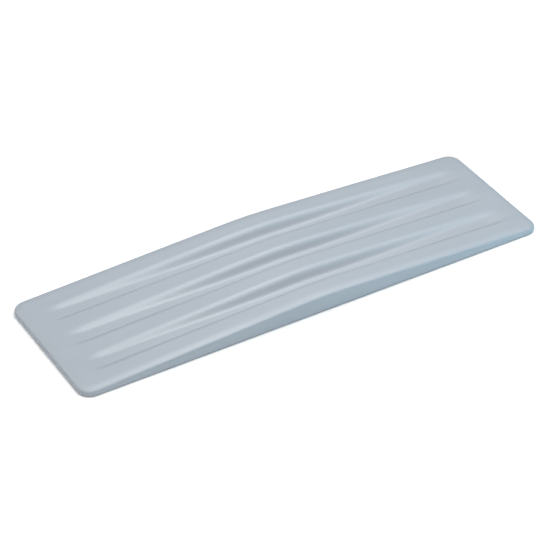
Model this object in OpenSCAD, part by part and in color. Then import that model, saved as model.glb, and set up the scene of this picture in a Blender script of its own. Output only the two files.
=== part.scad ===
// Transfer board: a low arched bridge that a seated person slides across,
// from a wheelchair to a bed, a car seat or a chair.
// +X runs along the board, +Y across it and +Z up. The origin is on the
// floor, under the middle of the board, and all sizes are in millimetres.

/* [Board] */
// Length of the board
board_l = 700; // [640:10:760]
// Width of the board
board_w = 200; // [190:2:220]
// Height of the ridge in the middle above the floor
crown_h = 26.5; // [25:0.5:31]
// Height of the thin ends above the floor
end_h = 9.5; // [9:0.5:11]
// Length over which the two slopes blend into each other at the ridge
knee_r = 25; // [15:1:40]
// Radius of the four corners in plan
corner_r = 18; // [14:1:24]
// How far the long side walls lean in, per millimetre of height
side_draft = 0.06; // [0.02:0.01:0.08]
// Width of the rounding along the upper edge
edge_w = 12; // [8:0.5:13]
// Height of the rounding along the upper edge
edge_h = 4; // [2.5:0.5:4.5]

/* [Flutes] */
// Distance between the centre lines of neighbouring flutes
flute_pitch = 54; // [50:0.5:56]
// Width of a flute near the ends of the board
flute_end_w = 33.5; // [28:0.5:36]
// Width of a flute at the middle of the board
flute_mid_w = 37; // [32:0.5:39]
// Depth of a flute near the ends of the board
flute_end_depth = 2.3; // [1:0.1:2.5]
// Further depth of a flute at the middle of the board
flute_mid_depth = 9.4; // [6:0.2:10]
// How sharply the depth gathers towards the middle of the board
flute_swell = 1.2; // [1:0.05:1.6]
// Width of a flute's near wall near the ends of the board
near_wall_end = 6.5; // [5:0.5:10]
// Width of a flute's near wall at the middle of the board
near_wall_mid = 14; // [10:0.5:15]
// How far the foot of the far wall keeps off the centre line near the ends
far_foot = 4; // [0:0.5:6]
// Distance from each end of the board to where a flute starts
flute_start = 26; // [20:1:40]
// Length over which a flute reaches its full depth
flute_fade = 40; // [25:1:60]

/* [Shells] */
// Thickness of the top skin
skin_t = 3; // [2.5:0.1:3.2]
// Thickness of the side wall beside the base
wall_t = 2.5; // [2:0.1:3]
// Width of the ledge that the base sits against
ledge_w = 2.5; // [2:0.1:3]
// Thickness of the base
base_t = 2.5; // [2.2:0.1:2.6]
// Thickness of the webs under the flutes
web_t = 3; // [2:0.5:4]

/* [Grip strips] */
// Length of a strip, across the board
strip_l = 52; // [40:1:54]
// Width of a strip, along the board
strip_w = 22; // [16:1:26]
// How far a strip stands out below the base
strip_proud = 1; // [0.6:0.1:1.4]
// How deep a strip sits in its pocket
strip_pocket = 1; // [0.8:0.1:1.2]
// Distance from each end of the board to the middle of its strips
strip_from_end = 46; // [40:1:80]

/* [Hidden] */

// Colours
deck_grey = [0.70, 0.745, 0.79];
base_grey = [0.60, 0.65, 0.70];
foam_white = [0.90, 0.90, 0.86];
strip_grey = [0.22, 0.25, 0.28];
label_grey = [0.88, 0.89, 0.90];

// Heights
floor_gap = strip_proud;
base_top = floor_gap + base_t;

// Flutes, from the near side to the far side, and how round their walls are
flute_y = [-flute_pitch, 0, flute_pitch];
brow_share = 0.5;
foot_share = 0.32;

// Gaps between the pieces
seat_gap = 0.15;
pocket_gap = 0.2;
foam_gap = 0.5;
web_gap = 0.3;

// Overlap that makes a cut go right through
cut = 1;

// Bevel along the lower edge of the side walls
foot_r = 0.8;

// Spigot: a low rim on the base that stands inside the ledge
spigot_t = 1.6;
spigot_h = 1.4;
spigot_top = base_top + spigot_h;

// Foam planks
core_half_l = 290;

// Rating label
label_l = 64;
label_w = 36;
label_t = 0.4;
label_corner = 3;

// Grip strips, with ribs along the underside
strip_corner = 5;
strip_spread = 6;
grip_rib = 2.4;
grip_slot = 1.4;
grip_slot_depth = 0.6;
grip_border = 4;

// Sampling of the curved surfaces
corner_turns = [90, 78, 66, 54, 42, 28, 14, 0];
fillet_turns = [0, 16, 34, 52, 70, 90];
flute_steps = 7;
span_steps = 12;
fade_steps = 3;
ridge_crowding = 1.4;
fine = 48;

// ---- The upper surface ----

function clamp01(t) = max(0, min(1, t));
function ease(t) = let(u = clamp01(t)) u * u * (3 - 2 * u);

// Two straight slopes that meet in a rounded ridge
function slope(x) = sqrt(x * x + knee_r * knee_r) - knee_r;
function arch(x) = crown_h - (crown_h - end_h) * slope(x) / slope(board_l / 2);

// 1 at the middle of the board and 0 at its ends
function middle(x) = (1 + cos(360 * x / board_l)) / 2;

// Wall of a flute: 0 at the brow and 1 at the foot, rounded at both
function wall_drop(s) =
    let(full = 1 - brow_share / 2 - foot_share / 2)
    s <= 0 ? 0 :
    s >= 1 ? 1 :
    s < brow_share ? s * s / (2 * brow_share) / full :
    s < 1 - foot_share ? (s - brow_share / 2) / full :
    1 - pow(1 - s, 2) / (2 * foot_share) / full;

// A value that goes from one at the ends of the board to another at the middle
function swell(x, at_end, at_middle) = at_end + (at_middle - at_end) * middle(x);

// Depth below the arch. The near wall of a flute is steeper than its far wall.
function flute_depth(x, y) =
    let(
        row = round(max(-1, min(1, y / flute_pitch))),
        off = y - row * flute_pitch,
        half = swell(x, flute_end_w, flute_mid_w) / 2,
        near_wall = swell(x, near_wall_end, near_wall_mid),
        far_wall = half - swell(x, far_foot, 0),
        along = ease((board_l / 2 - flute_start - abs(x)) / flute_fade),
        deepest = along * (flute_end_depth + flute_mid_depth * pow(middle(x), flute_swell))
    )
    deepest * wall_drop((half - abs(off)) / (off < 0 ? near_wall : far_wall));

function fluted_z(x, y) = arch(x) - flute_depth(x, y);

// ---- The outline in plan ----

// Half the width at x, for an outline that is inset all round
function half_width(x, inset) =
    let(r = corner_r - inset, past = abs(x) - (board_l / 2 - corner_r))
    board_w / 2 - corner_r + (past <= 0 ? r : sqrt(max(0, r * r - past * past)));

// How far the top of a long side wall leans in from its foot
function lean(x) = side_draft * (arch(x) - edge_h - floor_gap);

// Distance from a point of the top to its edge, where the side wall ends
function edge_distance(x, y) =
    let(
        px = abs(x) - (board_l / 2 - corner_r),
        py = abs(y) - (board_w / 2 - corner_r)
    )
    corner_r - (px > 0 && py > 0 ? norm([px, py]) : max(px, py)) - lean(x);

// How far the rounded edge drops below the surface, as a quarter of an ellipse
function edge_drop(d) =
    let(u = clamp01((edge_w - d) / edge_w))
    edge_h * (1 - sqrt(1 - u * u));

// Top of the board, and the inside of its skin
function top_z(x, y) = fluted_z(x, y) - edge_drop(edge_distance(x, y));
function skin_z(x, y) = top_z(x, y) - skin_t;

// Places along the board, closer together at the corners, the flute starts and the ridge
function end_stations(inset) = [
    for (a = corner_turns) board_l / 2 - corner_r + (corner_r - inset) * sin(a)
];
span_half_l = board_l / 2 - flute_start - flute_fade;
half_span = concat(
    [for (s = [fade_steps:-1:1]) span_half_l + flute_fade * s / fade_steps],
    [for (s = [span_steps:-1:1]) span_half_l * pow(s / span_steps, ridge_crowding)]
);
function mirrored(list) = concat([for (v = list) -v], [0], [for (i = [len(list) - 1:-1:0]) list[i]]);
function stations(inset) = mirrored(concat(end_stations(inset), half_span));

// Places across the board: the rounding at each side, then the steps over each flute
flute_step = flute_mid_w / 2 / flute_steps;
outer_brow = flute_pitch + flute_mid_w / 2;
function across(w, rim) =
    let(
        side = [for (a = fillet_turns) w - rim * (1 - cos(a))],
        half = [
            each [for (i = [flute_steps:-1:-flute_steps]) flute_pitch + flute_step * i],
            each [for (i = [flute_steps:-1:1]) flute_step * i],
        ],
        squeeze = min(1, (w - rim - cut) / outer_brow)
    )
    mirrored(concat(side, [for (v = half) v * squeeze]));

// ---- Lofting ----

// A closed solid through rings of points that all have the same length
module loft(rings) {
    n = len(rings[0]);
    last = len(rings) - 1;
    sides = [
        for (i = [0:last - 1], j = [0:n - 1])
            let(k = (j + 1) % n)
            [i * n + j, i * n + k, (i + 1) * n + k, (i + 1) * n + j]
    ];
    first_cap = [for (j = [n - 1:-1:0]) j];
    last_cap = [for (j = [0:n - 1]) last * n + j];
    polyhedron([for (r = rings) each r], concat([first_cap], sides, [last_cap]), 8);
}

// Cross-section of the outside of the deck at x
function deck_ring(x) =
    let(w = half_width(x, 0), foot = floor_gap + foot_r)
    concat(
        [[x, -w + foot_r, floor_gap], [x, -w, foot]],
        [for (y = across(w - lean(x), edge_w)) [x, y, top_z(x, y)]],
        [[x, w, foot], [x, w - foot_r, floor_gap]]
    );

// Cross-section of the hollow inside the deck at x, upright beside the spigot
function hollow_ring(x) =
    let(inset = wall_t + ledge_w, w = half_width(x, inset), upright = spigot_top + seat_gap)
    concat(
        [[x, -w, 0], [x, -w, upright]],
        [for (y = across(w - lean(x), edge_w - inset)) [x, y, skin_z(x, y)]],
        [[x, w, upright], [x, w, 0]]
    );

// A rectangle with round corners
module rounded(l, w, r) {
    square([l - 2 * r, w], center = true);
    square([l, w - 2 * r], center = true);
    for (sx = [-1, 1], sy = [-1, 1])
        translate([sx * (l / 2 - r), sy * (w / 2 - r)]) circle(r = r, $fn = fine);
}

// A flat plate with the board's outline, inset all round
module outline_plate(inset, z0, z1) {
    translate([0, 0, z0])
        linear_extrude(z1 - z0)
            rounded(board_l - 2 * inset, board_w - 2 * inset, corner_r - inset);
}

// ---- Deck: the top moulding, with the side walls and the ledge for the base ----

module deck_shell() {
    color(deck_grey) difference() {
        loft([for (x = stations(0)) deck_ring(x)]);
        loft([for (x = stations(wall_t + ledge_w)) hollow_ring(x)]);
        outline_plate(wall_t, floor_gap - cut, base_top);
    }
}

// ---- Base: the bottom moulding, with its spigot, webs and pockets ----

// Side view of a web, which follows the floor of the flute above it
web_half_l = board_l / 2 - corner_r;
web_profile = concat(
    [[-web_half_l, base_top - cut]],
    [for (x = mirrored(concat([web_half_l], half_span))) [x, skin_z(x, 0) - web_gap]],
    [[web_half_l, base_top - cut]]
);

module web(y) {
    translate([0, y + web_t / 2, 0]) rotate([90, 0, 0]) linear_extrude(web_t) polygon(web_profile);
}

module spigot() {
    inset = wall_t + ledge_w + seat_gap;
    difference() {
        outline_plate(inset, base_top - cut, spigot_top);
        outline_plate(inset + spigot_t, base_top - 2 * cut, spigot_top + cut);
    }
}

module base_shell() {
    color(base_grey) difference() {
        union() {
            outline_plate(wall_t + seat_gap, floor_gap, base_top);
            spigot();
            for (y = flute_y) web(y);
        }
        for (p = strip_places)
            translate([p[0], p[1], floor_gap - cut])
                linear_extrude(strip_pocket + cut) rounded(strip_w, strip_l, strip_corner);
        translate([0, 0, floor_gap - cut])
            linear_extrude(label_t + cut) rounded(label_l, label_w, label_corner);
    }
}

// ---- Core: foam planks between the webs, which hold the two skins apart ----

// Near and far side of each plank
web_clear = web_t / 2 + foam_gap;
core_outer = board_w / 2 - wall_t - ledge_w - spigot_t - 2 * foam_gap;
core_bays = [
    [-core_outer, -flute_pitch - web_clear],
    [-flute_pitch + web_clear, -web_clear],
    [web_clear, flute_pitch - web_clear],
    [flute_pitch + web_clear, core_outer],
];
core_stations = mirrored([
    for (s = [span_steps:-1:1]) core_half_l * pow(s / span_steps, ridge_crowding)
]);

function core_across(a, b) = [
    a,
    for (c = flute_y, i = [-flute_steps:flute_steps])
        let(y = c + flute_step * i)
        if (y > a && y < b) y,
    b,
];

module core_plank(bay) {
    a = core_bays[bay][0];
    b = core_bays[bay][1];
    low = base_top + foam_gap / 2;
    color(foam_white) loft([
        for (x = core_stations)
            concat(
                [[x, a, low]],
                [for (y = core_across(a, b)) [x, y, skin_z(x, y) - foam_gap]],
                [[x, b, low]]
            )
    ]);
}

// ---- Grip strips: rubber, pressed into pockets under both ends ----

strip_x = board_l / 2 - strip_from_end;
strip_places = [
    for (sx = [-1, 1], sy = [-1, 0, 1]) [sx * strip_x, sy * (flute_pitch + strip_spread)]
];

module grip_strip(place) {
    w = strip_w - 2 * pocket_gap;
    l = strip_l - 2 * pocket_gap;
    pitch = grip_rib + grip_slot;
    slots = floor((w - 2 * grip_rib) / pitch);
    color(strip_grey) translate([place[0], place[1], 0]) difference() {
        linear_extrude(strip_proud + strip_pocket) rounded(w, l, strip_corner - pocket_gap);
        for (s = [0:slots - 1])
            translate([(s - (slots - 1) / 2) * pitch - grip_slot / 2, -l / 2 + grip_border, -cut])
                cube([grip_slot, l - 2 * grip_border, grip_slot_depth + cut]);
    }
}

// ---- Rating label: a blank plate, flush in the base ----

module rating_label() {
    color(label_grey) translate([0, 0, floor_gap])
        linear_extrude(label_t)
            rounded(label_l - 2 * pocket_gap, label_w - 2 * pocket_gap, label_corner - pocket_gap);
}

deck_shell();
base_shell();
core_plank(0);  // core_plank_outer_near
core_plank(1);  // core_plank_inner_near
core_plank(2);  // core_plank_inner_far
core_plank(3);  // core_plank_outer_far
grip_strip(strip_places[0]);  // grip_strip_left_near
grip_strip(strip_places[1]);  // grip_strip_left_middle
grip_strip(strip_places[2]);  // grip_strip_left_far
grip_strip(strip_places[3]);  // grip_strip_right_near
grip_strip(strip_places[4]);  // grip_strip_right_middle
grip_strip(strip_places[5]);  // grip_strip_right_far
rating_label();
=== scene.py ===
import math

import bmesh
import bpy
from mathutils import Matrix, Vector


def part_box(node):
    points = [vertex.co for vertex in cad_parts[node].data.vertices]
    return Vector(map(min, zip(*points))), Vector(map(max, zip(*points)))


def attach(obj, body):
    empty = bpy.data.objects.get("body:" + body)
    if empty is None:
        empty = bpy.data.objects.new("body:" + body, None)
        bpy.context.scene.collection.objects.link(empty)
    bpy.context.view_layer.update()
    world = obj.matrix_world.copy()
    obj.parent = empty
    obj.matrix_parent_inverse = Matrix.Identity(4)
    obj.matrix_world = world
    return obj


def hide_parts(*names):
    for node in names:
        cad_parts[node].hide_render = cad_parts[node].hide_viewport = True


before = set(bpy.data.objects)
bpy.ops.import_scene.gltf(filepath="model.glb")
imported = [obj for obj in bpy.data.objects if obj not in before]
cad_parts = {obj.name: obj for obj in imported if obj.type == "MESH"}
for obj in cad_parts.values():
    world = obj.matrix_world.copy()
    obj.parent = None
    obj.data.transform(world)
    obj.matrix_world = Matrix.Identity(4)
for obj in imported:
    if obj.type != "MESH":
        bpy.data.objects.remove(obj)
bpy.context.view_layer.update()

MM = 0.001

# ---------------------------------------------------------------- sizes
# The deck's outer sizes come from its box in the frame. A box can't give the rest,
# so those repeat the CAD part's own parameters. All are in millimetres.
DECK_LOW, DECK_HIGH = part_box("deck_shell")
BOARD_L, BOARD_W = (round((b - a) / MM, 3) for a, b in list(zip(DECK_LOW, DECK_HIGH))[:2])
FLOOR_GAP, CROWN_H = round(DECK_LOW[2] / MM, 3), round(DECK_HIGH[2] / MM, 3)
END_H, KNEE_R = 9.5, 25.0
CORNER_R = 18.0
EDGE_W, EDGE_H = 12.0, 4.0
DRAFT = 0.06
BASE_TOP = 3.5
SKIN_T, WALL_T, LEDGE_W = 3.0, 2.5, 2.5
SPIGOT_H, SEAT_GAP = 1.4, 0.15
UPRIGHT_TOP = BASE_TOP + SPIGOT_H + SEAT_GAP
FOOT_R = 0.8

FLUTE_PITCH, FLUTE_END_W, FLUTE_MID_W = 54.0, 33.5, 37.0
FLUTE_END_DEPTH, FLUTE_MID_DEPTH, FLUTE_SWELL = 2.3, 9.4, 1.2
NEAR_WALL_END, NEAR_WALL_MID, FAR_FOOT = 6.5, 14.0, 4.0
FLUTE_START, FLUTE_FADE = 26.0, 40.0
BROW, FOOT = 0.50, 0.32

# Angles at which the round stretches of the deck are sampled, in degrees
CORNER_TURNS = (90, 85, 80, 75, 70, 64, 58, 52, 46, 40, 34, 28, 22, 16, 10, 5, 0)
EDGE_TURNS = range(0, 91, 10)
FOOT_TURNS = (0, 30, 60, 90)


def clamp01(t):
    return max(0.0, min(1.0, t))


def ease(t):
    u = clamp01(t)
    return u * u * (3 - 2 * u)


def slope(x):
    """Two straight slopes that meet in a rounded ridge."""
    return math.sqrt(x * x + KNEE_R * KNEE_R) - KNEE_R


def arch(x):
    return CROWN_H - (CROWN_H - END_H) * slope(x) / slope(BOARD_L / 2)


def middle(x):
    """1 at the middle of the board and 0 at its ends."""
    return (1 + math.cos(2 * math.pi * x / BOARD_L)) / 2


def wall_drop(s):
    """Wall of a flute: 0 at the brow and 1 at the foot, rounded at both."""
    full = 1 - BROW / 2 - FOOT / 2
    if s <= 0:
        return 0.0
    if s >= 1:
        return 1.0
    if s < BROW:
        return s * s / (2 * BROW) / full
    if s < 1 - FOOT:
        return (s - BROW / 2) / full
    return 1 - (1 - s) ** 2 / (2 * FOOT) / full


def flute_depth(x, y):
    """Depth below the arch. The near wall of a flute is steeper than its far wall."""
    off = min((y - c for c in (-FLUTE_PITCH, 0.0, FLUTE_PITCH)), key=abs)
    half = (FLUTE_END_W + (FLUTE_MID_W - FLUTE_END_W) * middle(x)) / 2
    near_wall = NEAR_WALL_END + (NEAR_WALL_MID - NEAR_WALL_END) * middle(x)
    far_wall = half - FAR_FOOT * (1 - middle(x))
    along = ease((BOARD_L / 2 - FLUTE_START - abs(x)) / FLUTE_FADE)
    deepest = along * (FLUTE_END_DEPTH + FLUTE_MID_DEPTH * middle(x) ** FLUTE_SWELL)
    return deepest * wall_drop((half - abs(off)) / (near_wall if off < 0 else far_wall))


def half_width(x, inset=0.0):
    """Half the width at x of the outline in plan, inset all round."""
    r = CORNER_R - inset
    past = abs(x) - (BOARD_L / 2 - CORNER_R)
    return BOARD_W / 2 - CORNER_R + (r if past <= 0 else math.sqrt(max(0.0, r * r - past * past)))


def lean(x):
    """How far the top of a side wall leans in from its foot."""
    return DRAFT * (arch(x) - EDGE_H - FLOOR_GAP)


def edge_drop(x, y):
    """How far the rounded edge drops, as a quarter of an ellipse."""
    px = abs(x) - (BOARD_L / 2 - CORNER_R)
    py = abs(y) - (BOARD_W / 2 - CORNER_R)
    d = CORNER_R - (math.hypot(px, py) if px > 0 and py > 0 else max(px, py)) - lean(x)
    u = clamp01((EDGE_W - d) / EDGE_W)
    return EDGE_H * (1 - math.sqrt(max(0.0, 1 - u * u)))


def top_z(x, y):
    return arch(x) - flute_depth(x, y) - edge_drop(x, y)


# ---------------------------------------------------------------- helpers
def new_object(name, bm):
    mesh = bpy.data.meshes.new(name)
    bm.normal_update()
    bm.to_mesh(mesh)
    bm.free()
    obj = bpy.data.objects.new(name, mesh)
    bpy.context.scene.collection.objects.link(obj)
    return obj


def loft(rings):
    """A closed mesh through rings of points that all have the same length."""
    bm = bmesh.new()
    rows = [[bm.verts.new([v * MM for v in p]) for p in ring] for ring in rings]
    n = len(rows[0])
    for a, b in zip(rows, rows[1:]):
        for j in range(n):
            k = (j + 1) % n
            bm.faces.new([a[j], a[k], b[k], b[j]])
    bm.faces.new(list(reversed(rows[0])))
    bm.faces.new(rows[-1])
    bmesh.ops.recalc_face_normals(bm, faces=bm.faces)
    return bm


def mirrored(values):
    return [-v for v in values] + [0.0] + list(reversed(values))


def stations(inset, step):
    """Places along the board, closer together at the corners."""
    r = CORNER_R - inset
    span = BOARD_L / 2 - CORNER_R
    ends = [span + r * math.sin(math.radians(a)) for a in CORNER_TURNS]
    n = int(span / step)
    return mirrored(ends + [span * i / n for i in range(n - 1, 0, -1)])


def across(w, rim, step):
    """Places across the board: the rounding at each side, then even steps."""
    side = [w - rim * (1 - math.cos(math.radians(a))) for a in EDGE_TURNS]
    inner = w - rim
    n = int(BOARD_W / 2 / step)
    return mirrored(side + [inner * i / n for i in range(n - 1, 0, -1)])


def deck_ring(x, step):
    """Cross-section of the outside of the deck at x."""
    w = half_width(x)
    foot = [(w - FOOT_R * (1 - math.sin(math.radians(a))),
             FLOOR_GAP + FOOT_R * (1 - math.cos(math.radians(a)))) for a in FOOT_TURNS]
    ring = [(x, -y, z) for y, z in foot]
    ring += [(x, y, top_z(x, y)) for y in across(w - lean(x), EDGE_W, step)]
    ring += [(x, y, z) for y, z in reversed(foot)]
    return ring


def hollow_ring(x, step):
    """Cross-section of the hollow inside the deck at x, upright beside the spigot."""
    inset = WALL_T + LEDGE_W
    w = half_width(x, inset)
    ring = [(x, -w, 0.0), (x, -w, UPRIGHT_TOP)]
    ring += [(x, y, top_z(x, y) - SKIN_T) for y in across(w - lean(x), EDGE_W - inset, step)]
    ring += [(x, w, UPRIGHT_TOP), (x, w, 0.0)]
    return ring


def rounded(corner_x, corner_y, r, turns):
    """A rectangle with round corners, given where the first corner's arc is centred."""
    points = []
    for sx, sy, start in ((1, 1, 0), (-1, 1, 90), (-1, -1, 180), (1, -1, 270)):
        for i in range(turns + 1):
            a = math.radians(start + 90 * i / turns)
            points.append((sx * corner_x + r * math.cos(a), sy * corner_y + r * math.sin(a)))
    return points


def slab(points, z0, z1):
    """A closed flat plate with the given outline."""
    bm = bmesh.new()
    low = [bm.verts.new((x * MM, y * MM, z0 * MM)) for x, y in points]
    high = [bm.verts.new((x * MM, y * MM, z1 * MM)) for x, y in points]
    n = len(points)
    for j in range(n):
        k = (j + 1) % n
        bm.faces.new([low[j], low[k], high[k], high[j]])
    bm.faces.new(list(reversed(low)))
    bm.faces.new(high)
    return bm


def cut_away(obj, tools):
    """Subtract closed meshes from a closed mesh and keep the result as plain mesh data."""
    for tool in tools:
        mod = obj.modifiers.new("cut", "BOOLEAN")
        mod.operation = "DIFFERENCE"
        mod.solver = "MANIFOLD"
        mod.object = tool
    bpy.context.view_layer.update()
    result = bpy.data.meshes.new_from_object(obj.evaluated_get(bpy.context.evaluated_depsgraph_get()))
    obj.modifiers.clear()
    obj.data = result
    for tool in tools:
        bpy.data.objects.remove(tool)


def smooth(obj, degrees):
    """Shade a mesh smooth, apart from edges sharper than the given angle."""
    mesh = obj.data
    for p in mesh.polygons:
        p.use_smooth = True
    bm = bmesh.new()
    bm.from_mesh(mesh)
    for e in bm.edges:
        if len(e.link_faces) == 2 and e.calc_face_angle() > math.radians(degrees):
            e.smooth = False
    bm.to_mesh(mesh)
    bm.free()


# ---------------------------------------------------------------- deck
step_x, step_y = ((3.0, 1.25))
HOLLOW_STEP_X, HOLLOW_STEP_Y, REBATE_TURNS = 8.0, 2.5, 12
deck = new_object("deck", loft([deck_ring(x, step_y) for x in stations(0, step_x)]))
hollow = new_object("hollow", loft([hollow_ring(x, HOLLOW_STEP_Y)
                                    for x in stations(WALL_T + LEDGE_W, HOLLOW_STEP_X)]))
rebate_outline = rounded(BOARD_L / 2 - CORNER_R, BOARD_W / 2 - CORNER_R, CORNER_R - WALL_T, REBATE_TURNS)
rebate = new_object("rebate", slab(rebate_outline, 0.0, BASE_TOP))
cut_away(deck, [hollow, rebate])
smooth(deck, 28)
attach(deck, "root")
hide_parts("deck_shell")

# ---------------------------------------------------------------- grip strips
RIB, SLOT, SLOT_DEPTH, BORDER, BEVEL = 2.4, 1.4, 0.6, 4.0, 0.3
STRIP_CORNER, STRIP_TURNS = 4.8, 6
SLOT_BEVEL, SLOT_FLARE, SLOT_CUT = 0.15, 0.2, 0.5


def slot_profile():
    """Half the cross-section of a slot, from below the strip up to the slot's roof."""
    return [(SLOT / 2 + SLOT_BEVEL, -SLOT_CUT), (SLOT / 2 + SLOT_BEVEL, 0.0), (SLOT / 2, SLOT_FLARE),
            (SLOT / 2, SLOT_DEPTH - SLOT_BEVEL), (SLOT / 2 - SLOT_BEVEL, SLOT_DEPTH)]


def strip_mesh(name, box):
    """A ribbed rubber strip that fills the box of the CAD strip, with softened edges."""
    (x0, y0, z0), (x1, y1, z1) = [[v / MM for v in corner] for corner in box]
    cx, cy = (x0 + x1) / 2, (y0 + y1) / 2
    w, l = x1 - x0, y1 - y0
    layers = []
    for z, inset in ((z0, BEVEL), (z0 + 0.1, 0.1), (z0 + BEVEL, 0.0), (z1 - 0.2, 0.0), (z1, 0.2)):
        r = STRIP_CORNER - inset
        plan = rounded((w - 2 * inset) / 2 - r, (l - 2 * inset) / 2 - r, r, STRIP_TURNS)
        layers.append([(cx + x, cy + y, z) for x, y in plan])
    obj = new_object(name, loft(layers))
    pitch = RIB + SLOT
    slots = int((w - 2 * RIB) / pitch)
    tools = []
    for s in range(slots):
        mid = cx + (s - (slots - 1) / 2) * pitch
        half = slot_profile()
        ring = [(mid - x, z0 + z) for x, z in half] + [(mid + x, z0 + z) for x, z in reversed(half)]
        rows = [[(x, y, z) for x, z in ring] for y in (cy - l / 2 + BORDER, cy + l / 2 - BORDER)]
        tools.append(new_object("slot_tool", loft(rows)))
    cut_away(obj, tools)
    smooth(obj, 40)
    return obj


strips = []
for side in ("left", "right"):
    for row in ("near", "middle", "far"):
        node = "grip_strip_" + side + "_" + row
        piece = strip_mesh("strip_" + side + "_" + row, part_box(node))
        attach(piece, "root")
        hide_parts(node)
        strips.append(piece)


# ---------------------------------------------------------------- materials
class Look:
    """A material under construction, with short ways to add nodes and links."""

    def __init__(self, name):
        self.mat = bpy.data.materials.new(name)
        self.mat.use_nodes = True
        self.tree = self.mat.node_tree
        self.tree.nodes.clear()
        self.out = self.tree.nodes.new("ShaderNodeOutputMaterial")
        self.bsdf = self.tree.nodes.new("ShaderNodeBsdfPrincipled")
        self.tree.links.new(self.bsdf.outputs[0], self.out.inputs[0])
        self.coord = self.tree.nodes.new("ShaderNodeTexCoord")

    def link(self, a, b):
        self.tree.links.new(a, b)

    def place(self, scale):
        m = self.tree.nodes.new("ShaderNodeMapping")
        m.inputs["Scale"].default_value = scale
        self.link(self.coord.outputs["Object"], m.inputs["Vector"])
        return m.outputs["Vector"]

    def noise(self, scale, detail=2.0, rough=0.5, stretch=(1, 1, 1)):
        n = self.tree.nodes.new("ShaderNodeTexNoise")
        n.inputs["Scale"].default_value = scale
        n.inputs["Detail"].default_value = detail
        n.inputs["Roughness"].default_value = rough
        self.link(self.place(stretch), n.inputs["Vector"])
        return n.outputs[0]

    def cells(self, scale):
        n = self.tree.nodes.new("ShaderNodeTexVoronoi")
        n.inputs["Scale"].default_value = scale
        self.link(self.coord.outputs["Object"], n.inputs["Vector"])
        return n.outputs["Distance"]

    def to_range(self, value, a, b, low, high):
        n = self.tree.nodes.new("ShaderNodeMapRange")
        self.link(value, n.inputs["Value"])
        for key, v in (("From Min", a), ("From Max", b), ("To Min", low), ("To Max", high)):
            n.inputs[key].default_value = v
        return n.outputs[0]

    def blend(self, factor, first, second):
        n = self.tree.nodes.new("ShaderNodeMix")
        n.data_type = "RGBA"
        self.link(factor, n.inputs[0])
        for socket, v in ((n.inputs[6], first), (n.inputs[7], second)):
            if isinstance(v, tuple):
                socket.default_value = (*v, 1)
            else:
                self.link(v, socket)
        return n.outputs[2]

    def worn(self, low=0.52, high=0.60):
        """1 on convex edges, broken up a little."""
        g = self.tree.nodes.new("ShaderNodeNewGeometry")
        edge = self.to_range(g.outputs["Pointiness"], low, high, 0.0, 1.0)
        m = self.tree.nodes.new("ShaderNodeMath")
        m.operation = "MULTIPLY"
        self.link(edge, m.inputs[0])
        self.link(self.to_range(self.noise(160, 3), 0.35, 0.65, 0.2, 1.0), m.inputs[1])
        return m.outputs[0]

    def bump(self, height, strength, distance, under=None):
        n = self.tree.nodes.new("ShaderNodeBump")
        n.inputs["Strength"].default_value = strength
        n.inputs["Distance"].default_value = distance
        self.link(height, n.inputs["Height"])
        if under is not None:
            self.link(under, n.inputs["Normal"])
        return n.outputs[0]

    def finish(self, colour, rough, normal, specular):
        self.link(colour, self.bsdf.inputs["Base Color"])
        self.link(rough, self.bsdf.inputs["Roughness"])
        self.link(normal, self.bsdf.inputs["Normal"])
        self.bsdf.inputs["Specular IOR Level"].default_value = specular
        return self.mat


def moulded(name, colour, spread, rough, specular):
    """Textured moulded plastic: faint clouding, fine grain, slightly paler worn edges."""
    k = Look(name)
    darker = tuple(c * (1 - spread) for c in colour)
    lighter = tuple(min(1.0, c * (1 + spread)) for c in colour)
    worn = tuple(min(1.0, c * 1.14) for c in colour)
    clouds = k.to_range(k.noise(9, 3, 0.55, (0.5, 1, 1)), 0.3, 0.7, 0.0, 1.0)
    tone = k.blend(clouds, darker, lighter)
    specks = k.to_range(k.noise(1400, 2), 0.62, 0.72, 0.0, 0.22)
    tone = k.blend(specks, tone, darker)
    tone = k.blend(k.worn(), tone, worn)
    drag = k.noise(70, 2, 0.5, (0.06, 1, 1))
    roughness = k.to_range(drag, 0.3, 0.7, rough - 0.04, rough + 0.05)
    grain = k.bump(k.noise(2200, 2, 0.6), 0.10, 0.0002)
    ripple = k.bump(k.noise(26, 2, 0.5, (0.3, 1, 1)), 0.05, 0.002, grain)
    return k.finish(tone, roughness, ripple, specular)


def foam(name, colour):
    """Rigid foam: small cells, each a little darker at its centre."""
    k = Look(name)
    cell = k.cells(700)
    shade = tuple(c * 0.86 for c in colour)
    tone = k.blend(k.to_range(cell, 0.0, 0.6, 0.0, 1.0), shade, colour)
    tone = k.blend(k.to_range(k.noise(30, 3), 0.3, 0.7, 0.0, 0.25), tone, shade)
    roughness = k.to_range(k.noise(120, 2), 0.3, 0.7, 0.82, 0.95)
    return k.finish(tone, roughness, k.bump(cell, 0.5, 0.0006), 0.2)


def rubber(name, colour):
    """Dark rubber, dusty in patches and paler on worn edges."""
    k = Look(name)
    dusty = tuple(min(1.0, c * 1.7 + 0.01) for c in colour)
    tone = k.blend(k.to_range(k.noise(60, 4, 0.6), 0.35, 0.7, 0.0, 0.5), colour, dusty)
    tone = k.blend(k.worn(), tone, dusty)
    roughness = k.to_range(k.noise(220, 3), 0.3, 0.7, 0.62, 0.82)
    return k.finish(tone, roughness, k.bump(k.noise(1800, 3, 0.6), 0.25, 0.0003), 0.35)


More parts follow.
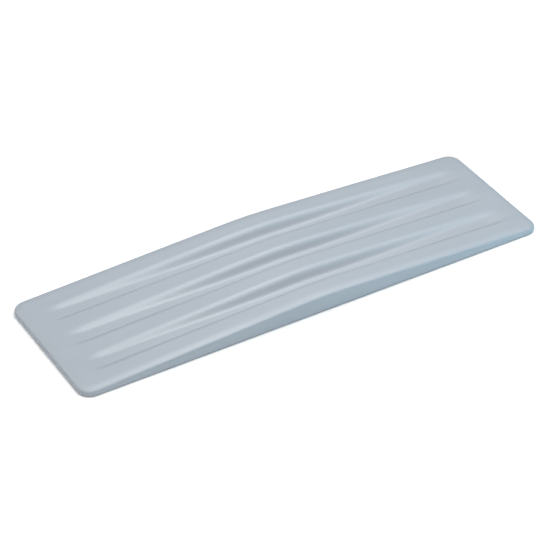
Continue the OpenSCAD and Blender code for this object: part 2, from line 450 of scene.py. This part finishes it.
def film(name, colour):
    """Satin film with a faint brushed sheen."""
    k = Look(name)
    shade = tuple(c * 0.94 for c in colour)
    tone = k.blend(k.to_range(k.noise(40, 3), 0.3, 0.7, 0.0, 1.0), colour, shade)
    tone = k.blend(k.worn(), tone, shade)
    roughness = k.to_range(k.noise(300, 2, 0.5, (1, 0.1, 1)), 0.3, 0.7, 0.30, 0.42)
    return k.finish(tone, roughness, k.bump(k.noise(900, 2), 0.05, 0.0001), 0.5)


def wear(obj, material):
    obj.data.materials.clear()
    obj.data.materials.append(material)


wear(deck, moulded("deck_plastic", (0.330, 0.371, 0.416), 0.02, 0.50, 0.97))
base_look = moulded("base_plastic", (0.27, 0.315, 0.36), 0.03, 0.55, 0.6)
foam_look = foam("core_foam", (0.80, 0.80, 0.74))
strip_look = rubber("strip_rubber", (0.035, 0.042, 0.050))
label_look = film("label_film", (0.70, 0.72, 0.74))
for piece in strips:
    wear(piece, strip_look)
for node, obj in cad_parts.items():
    if node.startswith("core_plank"):
        wear(obj, foam_look)
    elif node == "base_shell":
        wear(obj, base_look)
    elif node == "rating_label":
        wear(obj, label_look)

# ---------------------------------------------------------------- floor
floor_bm = bmesh.new()
bmesh.ops.create_grid(floor_bm, x_segments=4, y_segments=4, size=6.0)
floor = new_object("floor", floor_bm)
paper = Look("floor_paper")
fibre = paper.to_range(paper.noise(90, 3), 0.3, 0.7, 0.0, 1.0)
wear(floor, paper.finish(paper.blend(fibre, (0.965, 0.965, 0.965), (0.975, 0.975, 0.975)),
                         paper.to_range(fibre, 0.0, 1.0, 0.88, 0.94),
                         paper.bump(paper.noise(400, 2), 0.02, 0.0002), 0.0))

# ---------------------------------------------------------------- lights
world = bpy.data.worlds.new("studio")
bpy.context.scene.world = world
world.use_nodes = True
background = world.node_tree.nodes["Background"]
background.inputs[0].default_value = (1, 1, 1, 1)
background.inputs[1].default_value = 0.04


def softbox(name, where, target, size, radiance, colour=(1, 1, 1)):
    """A rectangular light of a given brightness that faces a target."""
    light = bpy.data.lights.new(name, "AREA")
    light.shape = "RECTANGLE"
    light.size, light.size_y = size
    light.energy = radiance * math.pi * size[0] * size[1]
    light.color = colour
    obj = bpy.data.objects.new(name, light)
    obj.location = where
    obj.rotation_mode = "QUATERNION"
    aim = Vector(target) - Vector(where)
    obj.rotation_quaternion = aim.to_track_quat("-Z", "Y")
    bpy.context.scene.collection.objects.link(obj)


softbox("overhead_right", (0.66, 0.045, 1.8), (0.66, 0.045, 0.0), (0.93, 1.85), 6.4)
softbox("overhead_left", (-0.60, 0.0, 1.8), (-0.60, 0.0, 0.0), (0.93, 1.85), 3.2)
softbox("key", (-1.2, 1.5, 1.6), (0, 0, 0), (0.6, 0.6), 7.0)
softbox("fill", (-1.6, -1.4, 1.6), (0, 0, 0), (1.2, 1.2), 2.8)
softbox("cool_rim", (1.0, -0.95, 0.13), (0.35, -0.1, 0), (0.7, 0.22), 14.0, (0.0, 0.42, 0.60))

# ---------------------------------------------------------------- camera
# It faces the origin from DIST metres away, then moves a little left and down to frame the board.
AZ, EL = math.radians(-34.12), math.radians(38.08)
ROLL = math.radians(2.92)
DIST = 2.759
SHIFT = (-0.01008, -0.00760)
back = Vector((math.sin(AZ) * math.cos(EL), -math.cos(AZ) * math.cos(EL), math.sin(EL)))
right = Vector((math.cos(AZ), math.sin(AZ), 0))
up = back.cross(right)
cam = bpy.data.cameras.new("camera")
cam.lens = 137.06
cam.sensor_width = 36.0
cam.clip_start, cam.clip_end = 0.05, 50
cam_obj = bpy.data.objects.new("camera", cam)
bpy.context.scene.collection.objects.link(cam_obj)
rolled_right = right * math.cos(ROLL) + up * math.sin(ROLL)
rolled_up = -right * math.sin(ROLL) + up * math.cos(ROLL)
place = back * DIST + right * SHIFT[0] + up * SHIFT[1]
turn = Matrix((rolled_right, rolled_up, back)).transposed().to_4x4()
cam_obj.matrix_world = Matrix.Translation(place) @ turn
bpy.context.scene.camera = cam_obj
bpy.context.scene.view_settings.view_transform = "Standard"

# ---------------------------------------------------------------- final update
bpy.context.view_layer.update()
